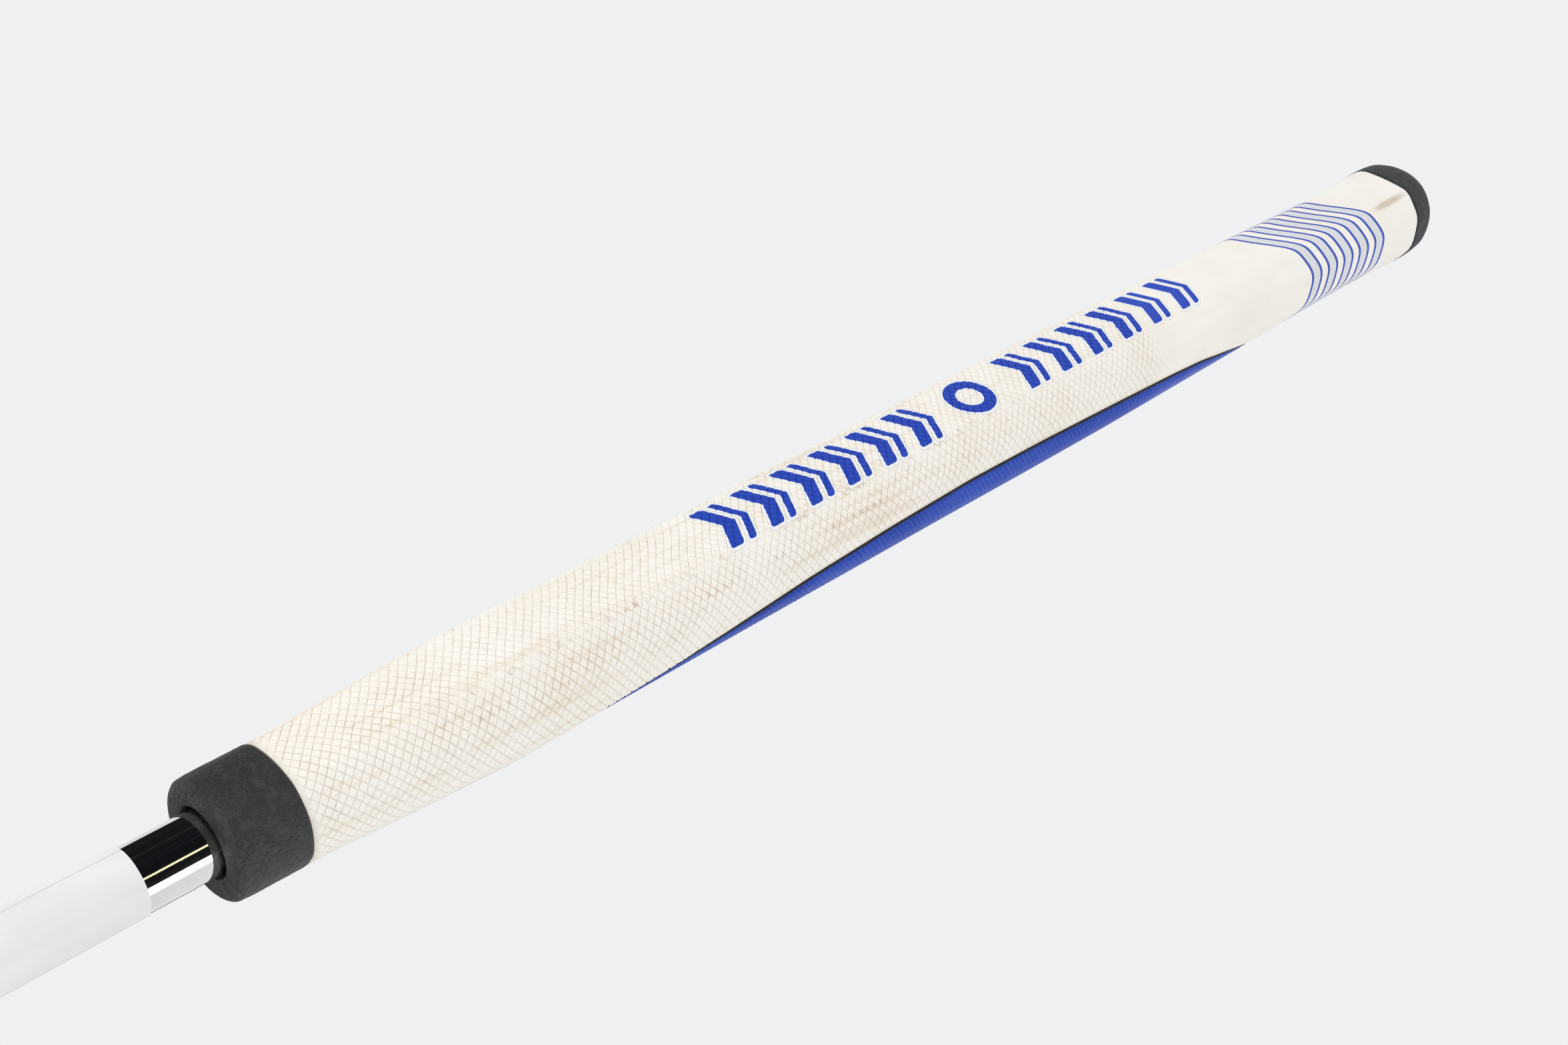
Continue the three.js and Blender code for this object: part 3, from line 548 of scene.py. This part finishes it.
def knurl_skin(name, u0, u1, psi_max, region, thick, rim=0.32, DU=DU, DJ=DJ, depth=0.24):
    """A skin of raised diamonds. region(u, psi) is >= 0 where the skin exists."""
    i0, i1 = int(math.floor((u0 - 2) / DU)), int(math.ceil((u1 + 2) / DU))
    jm = int(round(psi_max / DJ))
    verts, index = [], {}
    faces = []

    def corner(i, j):
        k = (i, j)
        if k not in index:
            index[k] = len(verts)
            verts.append((i * DU, j * DJ * RAD, 1.0))
        return index[k]
    for i in range(i0, i1 + 1):
        for j in range(-jm, jm + 1):
            if (i + j) % 2 == 0:
                continue
            if abs(j) == jm:                    # half diamonds close the skin at the join
                s = -1 if j > 0 else 1
                a, b, c = corner(i - 1, j), corner(i, j + s), corner(i + 1, j)
                base = len(verts)
                for sc, g in ((.80, .12), (.60, 0.0)):
                    for (du, dj) in ((-1, 0), (0, s), (1, 0)):
                        verts.append(((i + du * sc) * DU, (j + dj * sc) * DJ * RAD, g))
                half = []
                for k, (p, q) in enumerate(((a, b), (b, c))):
                    half.append((p, q, base + k + 1, base + k))
                    half.append((base + k, base + k + 1, base + 3 + k + 1, base + 3 + k))
                half.append((base + 3, base + 4, base + 5))
                faces += half if s < 0 else [f[::-1] for f in half]
                continue
            cs = [corner(i - 1, j), corner(i, j - 1), corner(i + 1, j), corner(i, j + 1)]
            base = len(verts)
            for sc, g in ((.80, .12), (.60, 0.0)):
                for (du, dj) in ((-1, 0), (0, -1), (1, 0), (0, 1)):
                    verts.append(((i + du * sc) * DU, (j + dj * sc) * DJ * RAD, g))
            for k in range(4):
                k2 = (k + 1) % 4
                faces.append((cs[k], cs[k2], base + k2, base + k))
                faces.append((base + k, base + k2, base + 4 + k2, base + 4 + k))
            faces.append((base + 4, base + 5, base + 6, base + 7))
    v = np.array(verts)
    v, faces = clip(v, faces, v[:, 0] - u0)
    v, faces = clip(v, faces, u1 - v[:, 0])
    if region is not None:
        v, faces = clip(v, faces, region(v[:, 0], v[:, 1]))
    used = np.unique(np.concatenate([np.array(f) for f in faces]))
    remap = -np.ones(len(v), int); remap[used] = np.arange(len(used))
    v = v[used]
    faces = [tuple(remap[list(f)]) for f in faces]
    amp = np.clip((KNURL_END + 5 - v[:, 0]) / 8, 0, 1)
    dist = seam_distance(v[:, 0], v[:, 1])
    away = np.minimum(np.abs(dist - (SEAM if psi_max > 170 else 0.0)), np.minimum(np.abs(v[:, 0] - u0), np.abs(v[:, 0] - u1)))
    drop = rim * np.exp(-(away / .38) ** 2)
    if psi_max > 170:                           # rubbed smooth along the corners of the flat and beside the ring
        front = np.degrees(math.pi - np.abs(v[:, 1]))
        life = np.clip((v[:, 0] - 22) / 30, 0, 1) * np.clip((300 - v[:, 0]) / 60, 0, 1)
        amp = amp * (1 - .72 * life * np.exp(-((front - 34.5) / 5.0) ** 2)) * np.clip((v[:, 0] - u0 - .5) / 1.2, 0, 1)
        amp = amp * np.clip((np.abs(dist) - SEAM - .15) / .7, 0, 1)
    groove = v[:, 2] * amp
    off = -depth * groove - drop
    v[:, 1] = np.where(np.abs(v[:, 1]) > math.pi - 1e-6, math.pi, v[:, 1])
    v[:, 0] = np.round(v[:, 0], 6)
    phi = np.where(v[:, 1] == math.pi, 0.0, v[:, 1] + math.pi)
    P = grip_point(v[:, 0], phi, off - .05)
    # join the two halves where they meet at the front
    key = np.round(P / 2e-6).astype(np.int64)
    _, first, inv = np.unique(key, axis=0, return_index=True, return_inverse=True)
    inv = inv.ravel()
    P, vv, groove, dist = P[first], v[first], groove[first], dist[first]
    out = []
    for f in faces:
        g = [inv[i] for i in f]
        h = [g[k] for k in range(len(g)) if g[k] != g[k - 1]]
        if len(h) >= 3 and len(set(h)) == len(h):
            out.append(tuple(h))
    # walls down to the core from every open edge
    count = {}
    for f in out:
        for k in range(len(f)):
            a, b = f[k], f[(k + 1) % len(f)]
            count[(a, b)] = count.get((a, b), 0) + 1
    rimv = {}
    inner_pts, walls = [], []
    for (a, b) in count:
        if (b, a) not in count:
            for q in (a, b):
                if q not in rimv:
                    rimv[q] = len(P) + len(inner_pts)
                    inner_pts.append(q)
            walls.append((b, a, rimv[a], rimv[b]))
    ip = np.array(inner_pts)
    P2 = grip_point(vv[ip, 0], vv[ip, 1] + math.pi, -thick)
    P = np.concatenate([P, P2])
    gp = np.concatenate([np.stack([vv[:, 0], np.degrees((vv[:, 1] + 2 * math.pi) % (2 * math.pi) - math.pi), groove], 1),
                         np.stack([vv[ip, 0], np.degrees((vv[ip, 1] + 2 * math.pi) % (2 * math.pi) - math.pi), np.ones(len(ip))], 1)])
    ph = gp[:, 1] * RAD
    r = grip_radius(gp[:, 0], ph)
    dd = np.concatenate([dist - (SEAM if psi_max > 170 else 0.0), dist[ip] * 0])
    gq = np.stack([r * np.sin(ph), r * np.cos(ph), np.abs(dd)], 1)
    me = bpy.data.meshes.new(name)
    me.from_pydata(P.tolist(), [], [tuple(int(i) for i in f) for f in out + walls])
    me.update()
    ob = bpy.data.objects.new(name, me)
    bpy.context.scene.collection.objects.link(ob)
    me.polygons.foreach_set("use_smooth", [True] * len(me.polygons))
    set_attr(ob, "gp", gp)
    set_attr(ob, "gq", gq)
    bm = bmesh.new(); bm.from_mesh(me)
    bmesh.ops.recalc_face_normals(bm, faces=bm.faces)
    bm.to_mesh(me); bm.free()
    # outward check: the mean normal of the skin points away from the axis
    me.update()
    c = np.array([p.center[:] for p in me.polygons[:400]]); nn = np.array([p.normal[:] for p in me.polygons[:400]])
    ax = line_point(0, 0, MOUTH); d = np.array([S20, 0, C20])
    rel = c - ax; rel -= (rel @ d)[:, None] * d
    if (rel * nn).sum() < 0:
        me.flip_normals()
    me.set_sharp_from_angle(angle=50 * RAD)
    return ob


wrap = knurl_skin("wrap_skin", RING_END + .3, CAP_START - .3, 180,
                  lambda u, p: seam_distance(u, p) - SEAM, 1.75)
use(wrap, M_WRAP)
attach(wrap, "club"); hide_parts("grip_wrap")

panel = knurl_skin("back_panel_skin", 70.0, 352.0, 102,
                   lambda u, p: -seam_distance(u, p), 1.45, DU=.80, DJ=102 / 26, depth=.11)
use(panel, M_PANEL)
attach(panel, "club"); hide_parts("grip_back_panel")

# the dark bead of the core that shows in the seam
n = len(OUTLINE)
oc = []
for k in range(n):
    t = OUTLINE[(k + 1) % n] - OUTLINE[k - 1]
    t /= np.linalg.norm(t) + 1e-9
    nrm = np.array([t[1], -t[0]])
    mid_u = OUTLINE[k] + nrm * 0
    oc.append((OUTLINE[k], nrm))
centre = OUTLINE.mean(0)
verts = []
SIDES = 10
for p, nrm in oc:
    if (p + nrm - centre) @ (p - centre) < (p - centre) @ (p - centre):
        nrm = -nrm
    for s in range(SIDES):
        a = s / SIDES * 2 * math.pi
        q = p + nrm * (SEAM / 2 + .46 * math.cos(a))
        verts.append(grip_point(q[0], q[1] / R_FLAT + math.pi, -.60 + .50 * math.sin(a)))
bead = new_object("seam_bead", np.array(verts), grid_faces(n, SIDES, True, True))
recalc(bead, 1e-7)
use(bead, M_CORE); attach(bead, "club")

# ---------------------------------------------------------------- rubber mouth ring and butt cap
def skin_of_revolution(name, profile, seg, relief, seed):
    """profile: (u, r or None, off). Shaped stations follow the grip's section; relief(p, w) gives mm inward."""
    ang = np.arange(seg) / seg * 2 * math.pi
    P = []
    for (u, r, off, rough) in profile:
        rr = grip_radius(np.full(seg, float(u)), ang) + off if r is None else np.full(seg, float(r))
        if rough:
            base = line_point(-rr * np.cos(ang), -rr * np.sin(ang), np.full(seg, MOUTH + u))
            rr = rr - np.array([relief(Vector(b) * 1000 + Vector((seed, 0, 0))) for b in base]) * rough
        P.append(line_point(-rr * np.cos(ang), -rr * np.sin(ang), np.full(seg, MOUTH + u)))
    ob = new_object(name, np.concatenate(P), grid_faces(len(profile), seg, True, True))
    recalc(ob)
    return ob


def scuffs(p):
    """Wrinkled, leathery surface in mm, 0 at the top."""
    a = noise.fractal(p * .55, 0.9, 2.1, 4)
    ridge = 1 - abs(noise.noise(p * .95 + Vector((3, 7, 1)))) * 2.2
    cut = max(0.0, 1 - abs(noise.noise(p * .42 + Vector((9, 2, 5)))) * 9)
    return 0.07 * (0.5 + 0.5 * a) + 0.08 * max(0.0, ridge) ** 3 + 0.07 * cut


def fine_scuffs(p):
    return 0.02 * (0.5 + 0.5 * noise.fractal(p * .8, 0.9, 2.1, 3))


prof = [(13.0, 7.15, 0, 0), (8.0, 7.2, 0, 0), (2.0, 7.4, 0, 0), (.7, 7.45, 0, 0), (.38, 7.5, 0, 0), (.18, 7.62, 0, 0), (.07, 7.8, 0, 0), (.04, 8.1, 0, 0), (.04, 8.7, 0, 0), (.04, 9.6, 0, .3), (.06, 10.5, 0, .5)]
for a in np.linspace(0, 90, 9):                 # rounded front edge
    k = math.sin(a * RAD); c = 1 - math.cos(a * RAD)
    prof.append((.08 + 1.7 * (1 - math.cos(a * RAD)) , None if a > 60 else (10.9 + 1.75 * k), -.02, .7))
us = np.arange(2.2, RING_END - .5, .36)
prof += [(u, None, -.02, 1.0) for u in us]
prof += [(RING_END - .35, None, -.04, .6), (RING_END - .12, None, -.14, 0), (RING_END - .02, None, -.34, 0), (RING_END - .02, 10.3, 0, 0)]
ring = skin_of_revolution("mouth_ring_rubber", prof, 232, scuffs, 0)
use(ring, M_RING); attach(ring, "club"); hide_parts("mouth_ring")

prof = [(CAP_START + .02, 8.45, 0, 0), (CAP_START + .02, None, -.5, 0), (CAP_START + .06, None, -.22, 0), (CAP_START + .25, None, -.06, .3)]
prof += [(u, None, .0, .8) for u in np.arange(CAP_START + .6, 431.3, .45)]
prof += [(431.62, 11.1, 0, .5), (431.82, 10.6, 0, .5), (431.93, 9.9, 0, .6), (431.95, 9.0, 0, .8)]
prof += [(431.95 - .35 * math.exp(-((r - 5.6) / .45) ** 2), r, 0, .5) for r in np.arange(8.4, 2.2, -.4)]
prof += [(431.85, 1.95, 0, 0), (431.6, 1.7, 0, 0), (430.9, 1.62, 0, 0), (427.85, 1.62, 0, 0), (427.85, 8.45, 0, 0)]
cap = skin_of_revolution("butt_cap_rubber", prof, 160, fine_scuffs, 50)
use(cap, M_CAP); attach(cap, "club"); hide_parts("butt_cap")

# ---------------------------------------------------------------- shaft and label
TOP = MOUTH - 95
STEPS = 11
z0 = 43.8
outer = [(3.8, z0), (4.35, z0), (4.7, z0 + .4)]
for k in range(STEPS - 1, -1, -1):
    z = TOP - k * 26
    below = (13.4 - 4.0 * (k + 1) / STEPS) / 2; above = (13.4 - 4.0 * k / STEPS) / 2
    outer += [(below, z - 1.0), (below + .012, z - .7), ((below + above) / 2, z), (above - .012, z + .7), (above, z + 1.0)]
outer += [(6.7, MOUTH + 12), (7.6, MOUTH + 409), (7.6, MOUTH + 427)]
inner = [(6.75, MOUTH + 427), (5.85, MOUTH + 12), (5.85, TOP), (3.82, z0 + 30), (3.8, z0)]
shaft = turned("shaft_tube", outer + inner[:-1], 128, close=True)
sharpen(shaft, 40)
use(shaft, M_CHROME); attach(shaft, "club"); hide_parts("shaft")

# paper wrap: a strip wound once with a lapped edge and slightly lifted ends
seg, rows = 150, 60
lap = -19 * RAD
LAB0, LAB1 = -14.7 - 76 + .1, -14.7
P, A_ = [], []
for side in (0, 1):
    for i in range(rows):
        u = LAB0 + (LAB1 - LAB0) * i / (rows - 1)
        edge_lap = lap + .05 * (u + 40) / 50 + .012 * math.sin(u * .31)
        for k in range(seg):
            a = k / seg * 2 * math.pi
            turn = ((a - edge_lap) % (2 * math.pi)) / (2 * math.pi)
            over = max(0.0, 1 - turn * 9.5)                 # the lap lies over the first few degrees
            r = 6.83 + (.13 if side == 0 else 0.0)
            if side == 0:
                r += .045 * (1 if over > 0 else 0) * min(1, turn * 60 + .0) + .008 * noise.noise(Vector((u * .25, math.cos(a) * 3, math.sin(a) * 3)))
            P.append(line_point(-r * math.cos(a), -r * math.sin(a), MOUTH + u))
            crease = math.exp(-((turn if turn < .5 else 1 - turn) * 2 * math.pi * 6.9 / .22) ** 2)
            A_.append((u, math.degrees(a), crease))
faces = []
for i in range(rows - 1):
    for k in range(seg):
        k2 = (k + 1) % seg
        a, b, c, d = i * seg + k, i * seg + k2, (i + 1) * seg + k2, (i + 1) * seg + k
        faces.append((a, b, c, d))
        o = rows * seg
        faces.append((d + o, c + o, b + o, a + o))
for i in (0, rows - 1):
    for k in range(seg):
        k2 = (k + 1) % seg
        a, b = i * seg + k, i * seg + k2
        o = rows * seg
        faces.append((b, a, a + o, b + o) if i == 0 else (a, b, b + o, a + o))
label = new_object("label_wrap", np.array(P), faces)
set_attr(label, "gp", np.array(A_))
recalc(label); sharpen(label, 40)
use(label, M_PAPER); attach(label, "club"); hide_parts("shaft_label")

# ---------------------------------------------------------------- head
def cast_copy(node, name, voxel, rounds, material):
    src = nodes[node]
    me = src.data.copy(); me.name = name
    ob = bpy.data.objects.new(name, me)
    bpy.context.scene.collection.objects.link(ob)
    bm = bmesh.new(); bm.from_mesh(me)
    bmesh.ops.transform(bm, matrix=src.matrix_world, verts=bm.verts)
    bmesh.ops.remove_doubles(bm, verts=bm.verts, dist=1e-6)
    bm.to_mesh(me); bm.free()
    r = ob.modifiers.new("remesh", "REMESH"); r.mode = "VOXEL"; r.voxel_size = voxel; r.adaptivity = 0.0
    s = ob.modifiers.new("smooth", "SMOOTH"); s.factor = .5; s.iterations = rounds
    dg = bpy.context.evaluated_depsgraph_get()
    done = bpy.data.meshes.new_from_object(ob.evaluated_get(dg))
    ob.modifiers.clear(); ob.data = done
    done.polygons.foreach_set("use_smooth", [True] * len(done.polygons))
    use(ob, material)
    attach(ob, "club"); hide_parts(node)
    return ob


VOX = .00042
cast_copy("head_body", "head_casting", VOX, 7, M_HEAD)
cast_copy("hosel_neck", "neck_casting", VOX * .9, 6, M_NECK)

# face insert with fine milled lines
LOFT = 3.5 * RAD
def face_point(x, y, z):
    return (x * MM, (-13 + y * math.cos(LOFT) + z * math.sin(LOFT)) * MM, (-y * math.sin(LOFT) + z * math.cos(LOFT)) * MM)


X0, X1, Z0, Z1, RC = -37.7, 33.7, 3.5, 20.9, 4.8
zs = np.linspace(Z0 + .02, Z1 - .02, 140)
cols = 25
P = []
def span(z):
    e = 0.0
    for zc, s in ((Z0 + RC, -1), (Z1 - RC, 1)):
        d = (z - zc) * s
        if d > 0:
            e = RC - math.sqrt(max(0, RC * RC - d * d))
    return X0 + e, X1 - e
for z in zs:
    a, b = span(z)
    for k in range(cols):
        x = a + (b - a) * k / (cols - 1)
        margin = min(x - a, b - x, z - Z0, Z1 - z)
        groove = .13 * max(0, math.cos(2 * math.pi * z / 1.15)) ** 4 * min(1, max(0, (margin - .9) / .5))
        P.append(face_point(x, .06 + groove + .22 * math.exp(-(margin / .22) ** 2), z))
nf = len(P)
for z in zs:
    a, b = span(z)
    for k in range(cols):
        P.append(face_point(a + (b - a) * k / (cols - 1), 3.4, z))
faces = grid_faces(len(zs), cols, False)
faces += [tuple(i + nf for i in f[::-1]) for f in grid_faces(len(zs), cols, False)]
loop = [k for k in range(cols)] + [i * cols + cols - 1 for i in range(1, len(zs))] + [(len(zs) - 1) * cols + k for k in range(cols - 2, -1, -1)] + [i * cols for i in range(len(zs) - 2, 0, -1)]
for k in range(len(loop)):
    a, b = loop[k], loop[(k + 1) % len(loop)]
    faces.append((b, a, a + nf, b + nf))
insert = new_object("milled_insert", P, faces)
recalc(insert); sharpen(insert, 40)
use(insert, M_INSERT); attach(insert, "club"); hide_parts("face_insert")

# sole weights with their hex sockets and threads, and their rubber rings
for side, wx in (("heel", 46.0), ("toe", -46.0)):
    seg = 96
    th = np.arange(seg) / seg * 2 * math.pi
    hexr = 2.08 / np.cos((th + math.pi / 6) % (math.pi / 3) - math.pi / 6)
    rings = [(hexr * .02, 5.3), (hexr * .98, 5.3), (hexr, 5.2), (hexr, 2.35), (hexr + .28, 2.04), (hexr * 0 + 3.6, 2.02)]
    rings += [(hexr * 0 + r, z) for r, z in ((4.6, 2.02), (4.75, 2.12), (4.9, 2.12), (5.05, 2.02), (6.9, 2.02), (7.25, 2.1), (7.46, 2.35), (7.46, 3.6), (7.36, 3.82), (7.1, 3.88), (5.3, 3.88), (5.0, 3.95))]
    zz = np.arange(4.05, 11.6, .125)
    for z in zz:
        ph = (z / 1.5 - th / (2 * math.pi)) % 1.0
        depth = .62 * np.clip(np.abs(ph - .5) * 2.6 - .25, 0, 1)
        ease = min(1, (z - 4.0) / .7, (11.9 - z) / .9)
        rings.append((5.47 - depth * ease - (1 - ease) * .45, z))
    rings += [(hexr * 0 + 4.7, 11.8), (hexr * 0 + 4.4, 11.95), (hexr * 0 + .02, 11.97)]
    P = []
    for r, z in rings:
        P.append(np.stack([(wx + r * np.cos(th)) * MM, (3.2 + r * np.sin(th)) * MM, np.full(seg, z * MM)], 1))
    f = grid_faces(len(rings), seg) + [tuple(range(seg))[::-1], tuple(range((len(rings) - 1) * seg, len(rings) * seg))]
    w = new_object(f"{side}_sole_screw", np.concatenate(P), f)
    recalc(w); sharpen(w, 38)
    use(w, M_WEIGHT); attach(w, f"{side}_screw"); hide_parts(f"{side}_weight")
    P = []
    for k in range(20):
        a = k / 20 * 2 * math.pi
        ca, sa = math.cos(a), math.sin(a)
        r = 6.67 + .79 * math.copysign(abs(ca) ** .6, ca); z = 4.575 + .36 * math.copysign(abs(sa) ** .8, sa)
        P.append(np.stack([(wx + r * np.cos(th)) * MM, (3.2 + r * np.sin(th)) * MM, np.full(seg, z * MM)], 1))
    o = new_object(f"{side}_seal", np.concatenate(P), grid_faces(20, seg, True, True))
    recalc(o)
    use(o, M_SEAL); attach(o, f"{side}_ring"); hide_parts(f"{side}_weight_ring")

dress("sight_line", M_PAINT); dress("insert_bond", M_BOND); dress("tip_epoxy", M_EPOXY)
dress("grip_tape", M_TAPE); dress("grip_core", M_CORE)

# ---------------------------------------------------------------- camera
A = np.array([0.69289, 0.36813, -0.61998]); A /= np.linalg.norm(A)
P0 = np.array([-104.548, -57.755, -372.886]); F = 3038.01
pm = P0 + A * (200 - 3.04)
V = -pm; V -= A * (V @ A); V /= np.linalg.norm(V)
Wt = np.cross(V, A)
if Wt @ np.array([0.47, -0.88, 0]) < 0:
    Wt = -Wt
B = 40 * RAD
NB = math.cos(B) * V - math.sin(B) * Wt
SB = np.cross(A, NB)
a_row, n_row = np.array([S20, 0, C20]), np.array([-C20, 0, S20])
s_row = np.cross(a_row, n_row)
R = np.stack([a_row, n_row, s_row], 1) @ np.stack([A, NB, SB], 1).T
C = line_point(0, 0, MOUTH + 3.04) - R @ P0 * MM
cam_data = bpy.data.cameras.new("camera"); cam = bpy.data.objects.new("camera", cam_data)
bpy.context.scene.collection.objects.link(cam)
M4 = Matrix.Identity(4)
for i in range(3):
    for j in range(3):
        M4[i][j] = R[i, j]
    M4[i][3] = C[i]
cam.matrix_world = M4
cam_data.sensor_width = 36; cam_data.sensor_fit = "HORIZONTAL"; cam_data.lens = F / 2352 * 36
cam_data.clip_start = .01; cam_data.clip_end = 50
bpy.context.scene.camera = cam


def cam_to_row(x, y, z):
    return Vector((C + R @ np.array([x, y, z])).tolist())


# ---------------------------------------------------------------- stage: floor, light
def plane(name, size, z):
    ob = new_object(name, [(-size, -size, z), (size, -size, z), (size, size, z), (-size, size, z)], [(0, 1, 2, 3)], False)
    return ob


floor = plane("floor", 6.0, -.0004)
M_FLOOR = plain_material("pale_floor", (0.83, 0.835, 0.84), (0.80, 0.805, 0.81), .7, 6, .02)
use(floor, M_FLOOR)

world = bpy.data.worlds.new("studio"); bpy.context.scene.world = world
world.use_nodes = True
bg = world.node_tree.nodes["Background"]
bg.inputs[0].default_value = (0.915, 0.93, 0.94, 1)
bg.inputs[1].default_value = 0.94


def area(name, loc, target, size, power, color=(1, 1, 1)):
    d = bpy.data.lights.new(name, "AREA"); d.shape = "DISK"; d.size = size; d.energy = power; d.color = color
    o = bpy.data.objects.new(name, d); bpy.context.scene.collection.objects.link(o)
    o.location = loc
    o.rotation_euler = (Vector(target) - Vector(loc)).to_track_quat("-Z", "Y").to_euler()
    return o


mid = Vector(line_point(0, 0, MOUTH + 200).tolist())
area("key", cam_to_row(-.55, .75, .15), mid, .7, 4.2, (1, .985, .96))
area("front", cam_to_row(-.75, -.35, .25), Vector(line_point(0, 0, MOUTH).tolist()), .5, 1.5, (1, 1, 1))
area("fill", cam_to_row(.75, -.6, .15), mid, 1.0, 2.7, (1, .985, .965))

# dark card seen only in reflections, with one thin warm strip light
M_CARD = Mat("dark_card")
_a = M_CARD.attr("gp")[0]
_streak = M_CARD.step(M_CARD.noise(1.0, 3, .55, M_CARD.combine(M_CARD.math("DIVIDE", _a, 17.0), 4.0, 2.0)), .46, .70)
_brown = M_CARD.mix(M_CARD.down(_a, -110, -35), (0.016, 0.019, 0.026), (0.052, 0.045, 0.034))
M_CARD.set(Base_Color=M_CARD.mix(_streak, (0.010, 0.010, 0.012), _brown), Roughness=1.0)
M_CARD.b.inputs["Specular IOR Level"].default_value = 0


def card(name, a0, a1, radius):
    pts, fcs = [], []
    angs = np.linspace(a0, a1, max(3, int((a1 - a0) / 6))) * RAD
    for zz_ in (-430.0, 330.0):
        for a in angs:
            dvec = math.cos(a) * V + math.sin(a) * Wt
            pts.append((C + R @ (P0 + A * (zz_ - 3.04) + dvec * radius) * MM).tolist())
    n_ = len(angs)
    for k in range(n_ - 1):
        fcs.append((k, k + 1, n_ + k + 1, n_ + k))
    ob = new_object(name, pts, fcs)
    set_attr(ob, "gp", np.array([(math.degrees(a), 0, 0) for a in angs] * 2))
    use(ob, M_CARD)
    return ob


cards = [card("dark_card", -128, 44, 230), card("rear_card", 158, 184, 240)]
pts = []
for zz_ in (-430.0, 330.0):
    for a in (9.3 * RAD, 15.0 * RAD):
        dvec = math.cos(a) * V + math.sin(a) * Wt
        pts.append((C + R @ (P0 + A * (zz_ - 3.04) + dvec * 222) * MM).tolist())
strip = new_object("warm_strip", pts, [(0, 1, 3, 2)], False)
M_STRIP = Mat("warm_strip"); M_STRIP.set(Base_Color=(0, 0, 0), Roughness=1.0)
M_STRIP.b.inputs["Emission Color"].default_value = (1.0, .93, .56, 1); M_STRIP.b.inputs["Emission Strength"].default_value = 1.35
use(strip, M_STRIP)
for ob in cards + [strip]:
    ob.visible_camera = False; ob.visible_diffuse = False; ob.visible_shadow = False
    ob.visible_transmission = False; ob.visible_volume_scatter = False

bpy.context.scene.view_settings.view_transform = "Standard"
bpy.context.scene.view_settings.look = "None"
